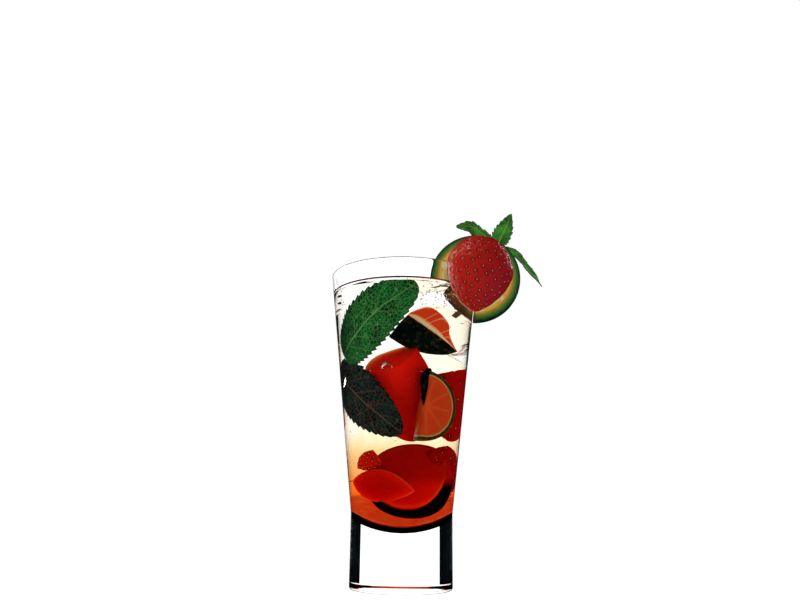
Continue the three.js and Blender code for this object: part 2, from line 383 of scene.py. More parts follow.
around = np.linspace(0, 2 * np.pi, 128, endpoint=False)
disc = FLOOR_RADIUS * np.stack([np.cos(around), np.sin(around), 0 * around], -1)
floor_mesh = bpy.data.meshes.new("floor")
floor_mesh.from_pydata(disc * MM, [], [tuple(range(128))])
floor = bpy.data.objects.new("floor", floor_mesh)
scene.collection.objects.link(floor)
sheet, tree, output = new_material("lit white sheet")
white = add(
    tree,
    "BsdfPrincipled",
    {
        "Base Color": linear("606060"),
        "Roughness": 0.6,
        "Emission Color": linear("ffffff"),
        "Emission Strength": 0.97,
    },
)
tree.links.new(white.outputs[0], output.inputs["Surface"])
floor_mesh.materials.append(sheet)
floor.visible_transmission = False
floor.visible_glossy = False
floor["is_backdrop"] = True

# %% [markdown]
# ## The glass
# A pressed highball glass: a solid foot, a thin wall that flares to the rim, and a round bowl bottom. Its
# profile is a line of arcs and straight stretches, and turning it makes the whole glass. The straight
# stretches are cut into short steps, because smooth shading over one long face would bend light wrongly.

# %% Sizes of the glass
RIM_RADIUS = 40.0
GLASS_HEIGHT = 162.4
FOOT_RADIUS = 26.0
FOOT_HEIGHT = 37.3
FOOT_ROUNDING = 1.4
WALL = 1.7
BOWL_FLOOR = 27.2
DRINK_LEVEL = 151.5
FLARE = (RIM_RADIUS - FOOT_RADIUS) / (GLASS_HEIGHT - FOOT_HEIGHT)
FLARE_ANGLE = np.arctan(FLARE)


def outer_radius(z):
    """Radius of the outside of the wall at a height: it grows evenly from the foot to the rim."""
    return FOOT_RADIUS + FLARE * (z - FOOT_HEIGHT)


def inner_radius(z):
    """Radius of the inside of the wall at a height."""
    return outer_radius(z) - WALL


def bowl_arc(inset):
    """Height of the centre and radius of the bowl bottom, which meets the wall smoothly, shifted inwards."""
    floor_height = BOWL_FLOOR + inset
    slope = np.cos(FLARE_ANGLE) - FLARE * (1 - np.sin(FLARE_ANGLE))
    radius = (inner_radius(floor_height) - inset) / slope
    return floor_height + radius, radius


def bowl(inset, count):
    """The bowl bottom from wall to axis as an arc of points."""
    height, radius = bowl_arc(inset)
    return arc((0, height), radius, -FLARE_ANGLE, -np.pi / 2, count)


def bowl_radius(z, inset):
    """Radius of the bowl at a height: on the arc below, on the straight wall above."""
    height, radius = bowl_arc(inset)
    drop = height - z
    on_arc = drop > radius * np.sin(FLARE_ANGLE)
    return np.where(on_arc, np.sqrt(np.maximum(radius**2 - drop**2, 0)), inner_radius(z) - inset)


# %% [markdown]
# The outline runs from the axis under the foot, up the outside, over the rim and down the inside. The rim
# is a half circle, as fire polishing leaves it.

# %% Turn the glass
ROUND = 256
rim = WALL / 2
rim_top = GLASS_HEIGHT - rim
rim_centre = (outer_radius(rim_top) - rim, rim_top)
foot_corner = (FOOT_RADIUS - FOOT_ROUNDING, FOOT_ROUNDING)
bowl_line = bowl(0, 40)
outside = np.concatenate(
    [
        line((0, 0.0), (foot_corner[0], 0.0), 10),
        arc(foot_corner, FOOT_ROUNDING, -np.pi / 2, 0, 12),
        line((FOOT_RADIUS, FOOT_ROUNDING + 1), (FOOT_RADIUS, FOOT_HEIGHT - 1), 12),
        line((FOOT_RADIUS, FOOT_HEIGHT - 1), (outer_radius(rim_top), rim_top), 50),
        arc(rim_centre, rim, 0, np.pi, 10),
    ]
)
inside = np.concatenate([line((inner_radius(rim_top - 0.5), rim_top - 0.5), bowl_line[0], 46), bowl_line])
inside[-1] = (0, BOWL_FLOOR)
profile = np.concatenate([outside, inside])
wet = np.concatenate([0 * outside[:, 0], inside[:, 1] < DRINK_LEVEL])
faces = grid_faces(len(profile), ROUND, around=True)
glass = make_piece("clear_tumbler", turned(profile, ROUND), faces, {"wet": np.repeat(wet, ROUND)})

# %% [markdown]
# Lamps and the sky must reach the fruit inside. A renderer doesn't follow bent light back to a lamp, so the
# clear materials let shadow rays and the light of matt things pass straight through. What the eye sees
# is still bent and mirrored as real glass does it. Where the drink wets the glass, the two indices are so
# alike that next to nothing is mirrored. The attribute `wet` marks these parts.

# %% Clear materials
GLASS_INDEX = 1.5
DRINK_INDEX = 1.34


def clear_body(tree, colour, index, roughness=0.0, **more):
    """A body that light passes, bent by its index. `more` names other sockets of the shader."""
    sockets = {"Base Color": colour, "Roughness": roughness, "IOR": index, "Transmission Weight": 1.0}
    return add(tree, "BsdfPrincipled", sockets | more)


def clear_through(tree, output, shader, tint):
    """Mixes a clear shader with a straight way through for shadow rays and for light from matt things."""
    path = add(tree, "LightPath").outputs
    matt = maths(tree, "MAXIMUM", path["Is Shadow Ray"], path["Is Diffuse Ray"])
    straight = add(tree, "BsdfTransparent", {"Color": tint})
    both = add(tree, "MixShader", {0: matt, 1: shader.outputs[0], 2: straight.outputs[0]})
    tree.links.new(both.outputs[0], output.inputs["Surface"])


def where_wet(tree, shader, tint, index):
    """Takes over from a clear shader where `wet` is one: there light is bent, but not mirrored."""
    bent = add(tree, "BsdfRefraction", {"Color": tint, "Roughness": 0.0, "IOR": index})
    return add(tree, "MixShader", {0: mark(tree, "wet"), 1: shader.outputs[0], 2: bent.outputs[0]})


def soda_lime_glass():
    """Soda-lime glass, pressed and fire polished: perfectly smooth, index 1.5, hardly any tint."""
    material, tree, output = new_material("soda-lime glass")
    body = clear_body(tree, linear("fbfdfd"), GLASS_INDEX)
    clear_through(tree, output, where_wet(tree, body, linear("fdfefe"), GLASS_INDEX), linear("fbfdfd"))
    return material


finish_piece(glass, soda_lime_glass(), "clear_glass", "glass")

# %% [markdown]
# ## The drink
# Soda and rum stained by the strawberries: nearly clear at the top and orange red at the bottom, where the
# juice sinks. Its surface is a little restless and climbs at the wall, where the meniscus shows as a dark
# line. The drink reaches a hair into the glass, so there is no film of air between them.

# %% Pour the drink
INTO_WALL = 0.15
MENISCUS_RISE = 1.2
MENISCUS_REACH = 0.9

edge_radius = inner_radius(DRINK_LEVEL + MENISCUS_RISE) + INTO_WALL
surface = line((0, DRINK_LEVEL), (edge_radius - 6, DRINK_LEVEL), 50)
climb = line((edge_radius - 6, DRINK_LEVEL), (edge_radius, DRINK_LEVEL), 24)
climb = np.concatenate([climb, [(edge_radius, DRINK_LEVEL)]])
climb[:, 1] += MENISCUS_RISE * np.exp(-(edge_radius - climb[:, 0]) / MENISCUS_REACH)
bowl_line = bowl(-INTO_WALL, 40)
profile = np.concatenate([surface, climb, line(climb[-1], bowl_line[0], 50)[1:], bowl_line])
profile[-1] = (0, BOWL_FLOOR - INTO_WALL)
points = turned(profile, ROUND)
calm = np.clip((edge_radius - 1 - profile[:, 0]) / 8, 0, 1) * (profile[:, 1] > DRINK_LEVEL - 0.5)
points[..., 2] += 0.03 * calm[:, None] * uneven(points, 7, 91)
wet = np.arange(len(profile)) >= len(surface) + len(climb)
faces = grid_faces(len(profile), ROUND, around=True)
drink = make_piece("mojito_drink", points, faces, {"wet": np.repeat(wet, ROUND)})


def strawberry_soda():
    """Soda water with strawberry juice: index of water, and a tint that deepens towards the bottom."""
    material, tree, output = new_material("strawberry soda")
    swirl = maths(tree, "MULTIPLY_ADD", noise(tree, 70.0, 3.0), 0.022, axes(tree)[2])
    share = add(tree, "MapRange", {"Value": swirl, "From Min": 0.041, "From Max": 0.171})
    colours = ramp(
        tree,
        share.outputs[0],
        stops=[
            (0.03, "f43e0c"),
            (0.09, "f44e0e"),
            (0.15, "f2701e"),
            (0.21, "f28c38"),
            (0.27, "f2b874"),
            (0.325, "f6d8a4"),
            (0.385, "fdf2de"),
            (0.62, "fef8f0"),
            (1.0, "fcf0ee"),
        ],
    )
    body = clear_body(tree, colours, DRINK_INDEX)
    one_wall = add(tree, "Gamma", {0: colours, 1: 0.5})
    clear_through(tree, output, where_wet(tree, body, one_wall.outputs[0], DRINK_INDEX), linear("ffffff"))
    return material


finish_piece(drink, strawberry_soda(), "drink", "drink")

# %% [markdown]
# ## Lime slices
# A slice of lime is a flat drum. Its faces are not flat, though: the juice sacs of each segment swell, the
# membranes between them stand as thin ridges, and the white pith and the rind run round the edge. The
# same grid makes the wheel on the rim, a half slice and a whole slice under water: only the angles differ.

# %% Shape of a lime slice
SEGMENTS = 9
PITH_AT = 0.80  # share of the radius where the flesh ends


def slice_dip(share, turn):
    """How deep the flesh lies, 0 to 1: none at the middle, on a membrane or in the pith, full between."""
    phase = (turn * SEGMENTS) % 1.0
    off_membrane = 1 - np.exp(-((np.minimum(phase, 1 - phase) * share * 16) ** 2))
    off_centre = 1 / (1 + np.exp(-(share - 0.13) * 60))
    off_pith = 1 / (1 + np.exp((share - PITH_AT) * 60))
    return off_membrane * off_centre * off_pith


def lime_slice(radius, thickness, begin, end, dip=0.55, full=False, seed=1):
    """A drum sector about Z. Rows run along the angle from begin(r) to end(r), columns over the top face
    from the middle to the edge, round the rind and back over the bottom. Two end walls close a sector."""
    inner = 0.01 * radius
    face = inner + (radius * 0.985 - inner) * np.linspace(0, 1, 56)
    rind = arc((0, 0), 1, np.pi / 2 * 0.8, -np.pi / 2 * 0.8, 9)
    side_radius = radius * (0.985 + 0.015 * rind[:, 0])
    r = np.concatenate([face, side_radius, face[::-1]])
    y = np.concatenate([face * 0 + 1, rind[:, 1], face * 0 - 1]) * thickness / 2
    count = 260
    u = np.linspace(0, 1, count, endpoint=not full)[:, None]
    angle = begin(r) * (1 - u) + end(r) * u
    share = np.broadcast_to(r / radius, angle.shape)
    points = np.stack([r * np.cos(angle), r * np.sin(angle), np.broadcast_to(y, angle.shape)], -1)
    dips = slice_dip(share, angle / (2 * np.pi)) * dip
    sacs = uneven(np.stack([share * 4, np.cos(angle) * 9, np.sin(angle) * 9], -1), 1.6, seed) * 0.25 * dips
    points[..., 2] -= np.sign(y) * (dips + sacs) * (np.abs(y) > 0.9 * thickness / 2)
    points[..., 2] += 0.12 * uneven(points, 17, seed + 3)
    columns = len(r)
    faces = [grid_faces(count, columns, around=True)]
    if full:
        loop = np.arange(columns)
        last = (count - 1) * columns
        nxt = (loop + 1) % columns
        faces.append(np.stack([last + loop, last + nxt, nxt, loop], -1))
    else:
        half = np.arange(columns // 2)
        for row in (0, (count - 1) * columns):
            faces.append(row + np.stack([half, half + 1, columns - 2 - half, columns - 1 - half], -1))
    return points, np.concatenate(faces), {"share": share, "dip": dips / max(dip, 1e-6)}


# %% [markdown]
# Fresh lime is wet flesh in a waxy rind. The colour follows the share of the radius: pale pith in the
# middle, green-yellow flesh, a golden ring of pith, and a rind that darkens quickly to the outside. Light
# goes some way into it, which subsurface scattering imitates.

# %% Lime material
def lime_flesh(name, stops, membrane, soaked_and_shaded, glow=0.35, coat=0.3, lines=0.75):
    """Cut lime: wet, slightly rough flesh and a waxy rind, coloured by the share of the radius. Where its
    attribute of painted shade is one, the colour turns to the darker shade colour that follows `membrane`."""
    material, tree, output = new_material(name)
    share = mark(tree, "share")
    mottled = maths(tree, "MULTIPLY_ADD", noise(tree, 420.0, 4.0), 0.035, share)
    colours = ramp(tree, maths(tree, "SUBTRACT", mottled, 0.0175), stops)
    raised = add(tree, "MapRange", {"Value": mark(tree, "dip"), "From Min": 0.15, "From Max": 0.8})
    ridge = maths(tree, "SUBTRACT", 1.0, raised.outputs[0])
    amount = maths(tree, "MULTIPLY", ridge, maths(tree, "LESS_THAN", share, PITH_AT))
    skin = mixed(tree, maths(tree, "MULTIPLY", amount, lines), colours, linear(membrane))
    # Painted shade: where the point attribute says so, the colour turns towards the shade colour.
    wet = mixed(tree, maths(tree, "MULTIPLY", mark(tree, "painted_shade"), 0.85), skin, linear(soaked_and_shaded))
    place = add(tree, "TexCoord").outputs["Object"]
    pores = add(tree, "TexVoronoi", {"Vector": place, "Scale": 900.0})
    relief = add(tree, "Bump", {"Strength": 0.35, "Distance": 0.0002, "Height": pores.outputs[0]})
    body = add(
        tree,
        "BsdfPrincipled",
        {
            "Base Color": wet,
            "Roughness": 0.3,
            "Specular IOR Level": coat,
            "Subsurface Weight": glow,
            "Subsurface Radius": (1.0, 0.8, 0.3),
            "Subsurface Scale": 0.002,
            "Coat Weight": coat,
            "Coat Roughness": 0.08,
            "Normal": relief.outputs[0],
        },
    )
    tree.links.new(body.outputs[0], output.inputs["Surface"])
    return material


# %% [markdown]
# The wheel is pushed over the wall as far as its middle, so it has a slit a little wider than the wall. The
# sides of the slit are parallel: the nearer the middle, the wider the angle between them. The part that dips
# into the drink is darkened by painted shade.

# %% The lime wheel on the rim
LIME_RADIUS = 24.7
LIME_THICKNESS = 6.0
LIME_TURN = np.radians(-6)
LIME_HEIGHT = 161.5
SLIT_HALF = WALL / 2 + 0.3
SLIT_LEAN = FLARE_ANGLE

# The slit runs from the middle of the wheel downwards along the wall, which leans outwards by the flare.
slit_way = -np.pi / 2 - SLIT_LEAN


def slit_side(sign, offset):
    """The angle of one side of the slit at each radius: the slit's way +- asin(half width / r)."""
    return lambda r: slit_way + offset + sign * np.arcsin(np.minimum(SLIT_HALF / r, 0.98))


points, faces, shares = lime_slice(LIME_RADIUS, LIME_THICKNESS, slit_side(1, 0.0), slit_side(-1, 2 * np.pi))
on_wall = RIM_RADIUS - WALL / 2
centre = (on_wall * np.cos(LIME_TURN), on_wall * np.sin(LIME_TURN), LIME_HEIGHT)
points = upright(points, centre, (0, 0, np.degrees(LIME_TURN)))
# Painted shade: the part inside the wall and below the drink's surface is turned dark brown.
shares["painted_shade"] = np.clip((DRINK_LEVEL - points[..., 2]) / 0.8, 0, 1) * (points[..., 0] < 38.4)
rim_lime = make_piece("rim_lime", points, faces, shares)
fresh_lime = lime_flesh(
    "fresh lime",
    [
        (0.0, "eef0c8"),
        (0.08, "dfe7a4"),
        (0.14, "a8bc4c"),
        (0.64, "c8cc68"),
        (0.71, "f8e49c"),
        (0.775, "fcc83c"),
        (0.81, "ecb034"),
        (0.85, "9c9440"),
        (0.90, "568434"),
        (0.945, "28682c"),
        (0.985, "0a341a"),
        (1.0, "020a06"),
    ],
    "e9edbc",
    # colour of the painted shade below the drink's surface
    "5a1c0c",
)
finish_piece(rim_lime, fresh_lime, "lime", "lime_wheel")

# %% [markdown]
# ## Strawberries
# The berry on the rim is hulled: a shallow hollow is left where the green cap sat. The skin is a sphere
# that is pulled long, tapered towards the tip and gently lobed. The seeds sit in dimples, and a golden
# angle spiral spreads them nearly evenly, just as it does on many plants.

# %% Shape of a strawberry
GOLDEN_ANGLE = np.pi * (3 - np.sqrt(5))
PIT_DEPTH = 0.5  # mm, of the dimple that a seed presses
PIT_WIDTH = 0.8
LIP_HEIGHT = 0.13  # of the soft ring round it
LIP_AT = 1.7  # how far the ring is from the seed
LIP_WIDTH = 0.6


def berry_skin(down, around, size, taper, hollow):
    """Skin: (w cos a, d sin a) times sin(down) and a taper below the waist, height l cos(down) - hollow."""
    c = np.cos(down)
    narrow = 1 - taper * np.maximum(0, 0.1 - c) ** 1.5
    lobes = 1 + 0.018 * np.sin(3 * around + 1) * np.sin(down) ** 2
    across = np.sin(down) * narrow * lobes
    height = size[2] / 2 * c - hollow * np.exp(-((down / 0.26) ** 2)) + 0 * across
    x, y = size[0] / 2 * across * np.cos(around), size[1] / 2 * across * np.sin(around)
    return np.stack([x, y, height], -1)


def seed_places(count, size, taper, hollow):
    """Places of the seeds on the skin, and their angles down and around."""
    i = np.arange(count)
    draw = np.random.default_rng(11)
    down = np.arccos(0.93 - 1.9 * (i + 0.5) / count) + draw.uniform(-0.035, 0.035, count)
    around = i * GOLDEN_ANGLE + draw.uniform(-0.06, 0.06, count)
    return berry_skin(down, around, size, taper, hollow), down, around


def berry_body(size, seeds, taper=0.35, hollow=3.2, rows=230, columns=320, cut=0.0, slant=0.0, seed=5):
    """The dimpled skin from the angle `cut` down, less `slant` on the +X side. Each seed presses a pit
    with a soft raised lip, and a flat face closes a cut berry. `share` runs from 0 in the middle of that
    face to 1 on the skin, `lit` is one at the far edge of the face, where light is painted, and `pit` is
    one where a seed sits, where painted shade darkens the dimple."""
    around = np.linspace(0, 2 * np.pi, columns, endpoint=False)
    begin = cut - slant * np.cos(around)
    down = begin + (np.pi - begin) * np.linspace(0, 1, rows)[:, None]
    skin = berry_skin(down, around + 0 * down, size, taper, hollow)
    centre = skin.mean((0, 1))
    out = skin - centre
    out /= np.linalg.norm(out, axis=-1, keepdims=True)
    pits = seed_places(seeds, size, taper, hollow)[0]
    step = np.full(skin.shape[:2], 1e3)
    for pit in pits:
        step = np.minimum(step, np.linalg.norm(skin - pit, axis=-1))
    lip = LIP_HEIGHT * np.exp(-(((step - LIP_AT) / LIP_WIDTH) ** 2))
    press = -PIT_DEPTH * np.exp(-((step / PIT_WIDTH) ** 2)) + lip
    skin = skin + out * (press + 0.22 * uneven(skin, 11, seed))[..., None]
    share = np.ones(skin.shape[:2])
    lit = 0 * share
    # Painted shade: one in the dimple round each seed.
    dark = np.exp(-((step / 1.0) ** 2))
    if cut > 0:
        inwards = np.linspace(0, 1, 24, endpoint=False)[:, None, None]
        edge = skin[:1]
        middle = edge.mean(1, keepdims=True)
        face = middle * (1 - inwards) + edge * inwards
        face[..., 2] += 0.25 * uneven(face * 3, 9, seed + 1) * (1 - inwards[..., 0])
        skin = np.concatenate([face, skin])
        share = np.concatenate([np.broadcast_to(inwards[..., 0] * 0.98, face.shape[:2]), share])
        # Painted light: one along the far edge of the cut face.
        lit = np.concatenate([inwards[..., 0] ** 6 * np.clip(np.sin(around), 0, 1), lit])
        dark = np.concatenate([np.zeros(face.shape[:2]), dark])
    faces = grid_faces(len(skin), columns, around=True)
    return skin, faces, {"share": share, "pit": dark, "lit": lit}


def berry_seeds(size, count, taper=0.35, hollow=3.2, first=0.0):
    """Small pointed drops, one in each dimple: a 5 by 6 grid each, turned with the skin and joined."""
    places, down, around = seed_places(count, size, taper, hollow)
    keep = down >= first
    places, down, around = places[keep], down[keep], around[keep]
    v = np.linspace(0, np.pi, 5)[:, None]
    u = np.linspace(0, 2 * np.pi, 6, endpoint=False)
    drop = np.stack([np.sin(v) * np.cos(u), np.sin(v) * np.sin(u), np.cos(v) + 0 * u], -1)
    drop *= (0.26, 0.24, 0.4)
    out = np.stack([np.sin(down) * np.cos(around), np.sin(down) * np.sin(around), np.cos(down)], -1)
    side = np.stack([-np.sin(around), np.cos(around), 0 * around], -1)
    up = np.cross(out, side)
    base = places - out * 0.36
    points = (
        base[:, None, None]
        + drop[None, ..., :1] * side[:, None, None]
        + drop[None, ..., 1:2] * out[:, None, None]
        + drop[None, ..., 2:] * up[:, None, None]
    )
    return points.reshape(-1, 3), repeated(grid_faces(5, 6, around=True), 5 * 6, len(places))


# %% [markdown]
# Ripe skin is thin, wet and glassy over soft flesh. The colour runs from a warm red on the side of the
# light to a purple red on the far side, which is painted light, with fine mottling, and the gloss comes
# from a clear coat.

# %% Strawberry materials
def ripe_strawberry(name, skin_stops, flesh_stops, glow, coat):
    """Ripe strawberry: red skin with painted light by place, pale streaky flesh where it is cut, a wet coat
    over both.
    """
    material, tree, output = new_material(name)
    x, y, z = axes(tree)
    # Painted light: the skin is a warmer red towards the light side and a purple red away from it.
    slope = maths(tree, "MULTIPLY_ADD", z, -0.35, x)
    centred = add(tree, "MapRange", {"Value": slope, "From Min": -0.042, "From Max": 0.008})
    spotted = maths(tree, "MULTIPLY_ADD", noise(tree, 160.0, 4.0), 0.30, centred.outputs[0])
    skin = ramp(tree, maths(tree, "SUBTRACT", spotted, 0.15), skin_stops)
    share = mark(tree, "share")
    flesh = ramp(tree, share, flesh_stops)
    colour = mixed(tree, maths(tree, "GREATER_THAN", share, 0.985), flesh, skin)
    # Painted light: a pale orange band along the far edge of a cut face.
    edged = mixed(tree, mark(tree, "lit"), colour, linear("fca850"))
    # Painted shade: a dark red in the dimple round each seed.
    ringed = mixed(tree, maths(tree, "MULTIPLY", mark(tree, "pit"), 0.75), edged, linear("3c0406"))
    relief = add(tree, "Bump", {"Strength": 0.8, "Distance": 0.0004, "Height": noise(tree, 900.0)})
    body = add(
        tree,
        "BsdfPrincipled",
        {
            "Base Color": ringed,
            "Roughness": 0.28,
            "Specular IOR Level": coat / 2,
            "Subsurface Weight": glow,
            "Subsurface Radius": (1.0, 0.25, 0.12),
            "Subsurface Scale": 0.006,
            "Coat Weight": coat,
            "Coat Roughness": 0.12,
            "Normal": relief.outputs[0],
        },
    )
    tree.links.new(body.outputs[0], output.inputs["Surface"])
    return material


def seed_husk():
    """Strawberry seeds: dry, hard and straw yellow, in a mottled tone."""
    material, tree, output = new_material("strawberry seed")
    colour = ramp(tree, noise(tree, 1400.0), [(0.3, "b98048"), (0.7, "e0bc80")])
    body = add(tree, "BsdfPrincipled", {"Base Color": colour, "Roughness": 0.35})
    tree.links.new(body.outputs[0], output.inputs["Surface"])
    return material


# %% [markdown]
# The berry on the rim hangs in front of the lime wheel with its tip down, so the wall passes through it.

# %% The strawberry on the rim
BERRY_SIZE = (34.6, 33.0, 40.6)
BERRY_CENTRE = (38.2, -29.0, 157.0)
BERRY_TURN = (0, 8, 0)
BERRY_SEED_COUNT = 185

points, faces, shares = berry_body(BERRY_SIZE, BERRY_SEED_COUNT)
rim_berry = make_piece("rim_strawberry", placed(points, BERRY_CENTRE, BERRY_TURN), faces, shares)

# %% [markdown]
# The berry is pushed onto the rim, so it has a slit for the wall. A ring with the wall's own flare, a
# little thicker than the wall, is cut out of it with a boolean, and the result is kept as a plain mesh.

# %% Cut the slit
SLIT_BOTTOM = 120.0
SLIT_GAP = 0.3

slit_top = GLASS_HEIGHT + SLIT_GAP
section = np.array(
    [
        (inner_radius(SLIT_BOTTOM) - SLIT_GAP, SLIT_BOTTOM),
        (outer_radius(SLIT_BOTTOM) + SLIT_GAP, SLIT_BOTTOM),
        (outer_radius(slit_top) + SLIT_GAP, slit_top),
        (inner_radius(slit_top) - SLIT_GAP, slit_top),
        (inner_radius(SLIT_BOTTOM) - SLIT_GAP, SLIT_BOTTOM),
    ]
)
ring = make_piece("slit_ring", turned(section, ROUND), grid_faces(len(section), ROUND, around=True))
cutter = rim_berry.modifiers.new("slit", "BOOLEAN")
cutter.operation = "DIFFERENCE"
cutter.solver = "EXACT"
cutter.object = ring
bpy.context.view_layer.update()
slit_mesh = bpy.data.meshes.new_from_object(rim_berry.evaluated_get(bpy.context.evaluated_depsgraph_get()))
rim_berry.modifiers.clear()
rim_berry.data = slit_mesh
bpy.data.objects.remove(ring)

ripe = ripe_strawberry(
    "ripe strawberry",
    [(0.0, "dc3c10"), (0.3, "b81606"), (0.6, "9c0806"), (1.0, "780820")],
    [(0.0, "f6cdb0"), (0.5, "e8745a"), (0.9, "c4281c"), (1.0, "a0140e")],
    glow=0.1,
    coat=0.4,
)
finish_piece(rim_berry, ripe, "strawberry", "strawberry")
points, faces = berry_seeds(BERRY_SIZE, BERRY_SEED_COUNT)
rim_seeds = make_piece("rim_strawberry_seeds", placed(points, BERRY_CENTRE, BERRY_TURN), faces)
husk = seed_husk()
finish_piece(rim_seeds, husk, "strawberry")

# %% [markdown]
# ## Mint
# A mint leaf is a thin blade that opens from its midrib, with saw teeth along its edges and sunken veins
# that quilt it. The blade is a grid: one way along the midrib, the other across. The upper and lower skin
# are the same grid, a little apart, and a border joins them.

# %% Paths through points
def smooth_path(knots, t):
    """A Catmull-Rom curve: between two knots a cubic that starts and ends along its neighbours' chord."""
    knots = np.asarray(knots, float)
    ends = np.concatenate([[2 * knots[0] - knots[1]], knots, [2 * knots[-1] - knots[-2]]])
    where = np.clip(t, 0, 1) * (len(knots) - 1)
    k = np.minimum(where.astype(int), len(knots) - 2)
    s = (where - k)[:, None]
    a, b, c, d = ends[k], ends[k + 1], ends[k + 2], ends[k + 3]
    return 0.5 * (2 * b + (c - a) * s + (2 * a - 5 * b + 4 * c - d) * s**2 + (3 * b - a - 3 * c + d) * s**3)


def unit(vectors):
    """Vectors scaled to length one."""
    return vectors / np.linalg.norm(vectors, axis=-1, keepdims=True)


# %% [markdown]
# Every leaf is made of the same few parts: a border that closes its two skins, the veins, the width along
# it, and the numbers that its material needs.

# %% Two skins and a border
def close_sheet(top, bottom):
    """Joins two equal grids, the upper and the lower skin of a leaf, by a border round their edge."""
    rows, columns = top.shape[:2]
    cells = grid_faces(rows, columns)
    under = rows * columns
    number = np.arange(under).reshape(rows, columns)
    border = np.concatenate([number[0, :-1], number[:-1, -1], number[-1, :0:-1], number[:0:-1, 0]])
    nxt = np.roll(border, -1)
    wall = np.stack([border, nxt, nxt + under, border + under], -1)
    points = np.concatenate([top.reshape(-1, 3), bottom.reshape(-1, 3)])
    return points, np.concatenate([cells, cells[:, ::-1] + under, wall])


def twice(field):
    """The same numbers for the upper and for the lower skin."""
    return np.concatenate([field.ravel(), field.ravel()])


def vein_lines(along, across, width):
    """Side veins as a field from 0 to 1: they slope forward from the midrib and fade out."""
    run = along * 6.5 - np.abs(across) * 1.5
    phase = np.abs(run - np.round(run))
    side = np.exp(-((phase / 0.035) ** 2)) * (1 - 0.6 * np.abs(across))
    rib = np.exp(-((across * width / 0.36) ** 2)) * (1 - 0.5 * along)
    return np.maximum(side * 0.4, rib)


def leaf_width(t, power, taper=0.15):
    """Half width share along a leaf: a sine that is broad near the base and narrows towards the tip."""
    return np.maximum(np.sin(np.pi * t**0.85), 0) ** power * (1 - taper * t)


def leaf_marks(t, v, veins, length, reach):
    """The veins, the millimetres along and across, and the share of the way from midrib to edge."""
    return {
        "vein": twice(veins),
        "mm_along": twice(t * length + 0 * v),
        "mm_across": twice(v * reach),
        "edge": twice(np.abs(v) + 0 * t),
    }


# %% [markdown]
# A leaf of the sprig follows its midrib through the air. Its halves fold up from the midrib, its edge is
# wavy and toothed, and the blade bulges between the veins.

# %% A leaf of the sprig
LEAF_THICKNESS = 0.6
LEAF_TEETH = 8
TOOTH_DEPTH = 0.13  # as a share of half the width


def sprig_leaf(midrib, side, width, fold, power=0.8, rows=161, columns=41):
    """Points = midrib(t) + across v h(t) + out (fold h |v| + waves): h is the half width with saw teeth."""
    t = np.linspace(0, 1, rows)
    centre = smooth_path(midrib, t)
    along = unit(np.gradient(centre, axis=0))
    across = np.asarray(side) - (along @ np.asarray(side))[:, None] * along
    across = unit(across)
    out = np.cross(along, across)
    tooth = 1 + TOOTH_DEPTH * (1.5 * ((t * LEAF_TEETH) % 1.0) - 0.5)
    half = np.maximum(0.35, width / 2 * leaf_width(t, power))
    v = np.linspace(-1, 1, columns)
    rim_only = np.clip((np.abs(v) - 0.75) / 0.25, 0, 1)
    reach = half[:, None] * (1 + (tooth[:, None] - 1) * rim_only)
    length = np.linalg.norm(np.diff(centre, axis=0), axis=1).sum()
    veins = vein_lines(t[:, None], v + 0 * t[:, None], width / 2)
    wave = 0.35 * np.sin(5 * np.pi * t[:, None] + 1.3 * v) * np.abs(v)
    quilt = 0.32 * (1 - veins) * np.sin(np.pi * t)[:, None] * (1 - np.abs(v) ** 4)
    lift = fold * half[:, None] * np.abs(v) + wave
    body = centre[:, None] + across[:, None] * (v * reach)[..., None]
    top = body + out[:, None] * (lift + quilt + LEAF_THICKNESS / 2 - 0.15)[..., None]
    bottom = body + out[:, None] * (lift + quilt * 0.8 - LEAF_THICKNESS / 2 + 0.1)[..., None]
    return *close_sheet(top, bottom), leaf_marks(t[:, None], v, veins, length, reach)


# %% [markdown]
# Leaves let light through, so up to half of their light comes from behind. Between the side veins lies a
# net of fine veins. A Voronoi pattern's cell borders look just like it, with cells of a real size in mm.

# %% Leaf material
def lit_from_behind(tree, output, body, colour, share):
    """Lets a share of the light of a body come through it from behind."""
    through = add(tree, "BsdfTranslucent", {"Color": colour})
    both = add(tree, "MixShader", {0: share, 1: body.outputs[0], 2: through.outputs[0]})
    tree.links.new(both.outputs[0], output.inputs["Surface"])


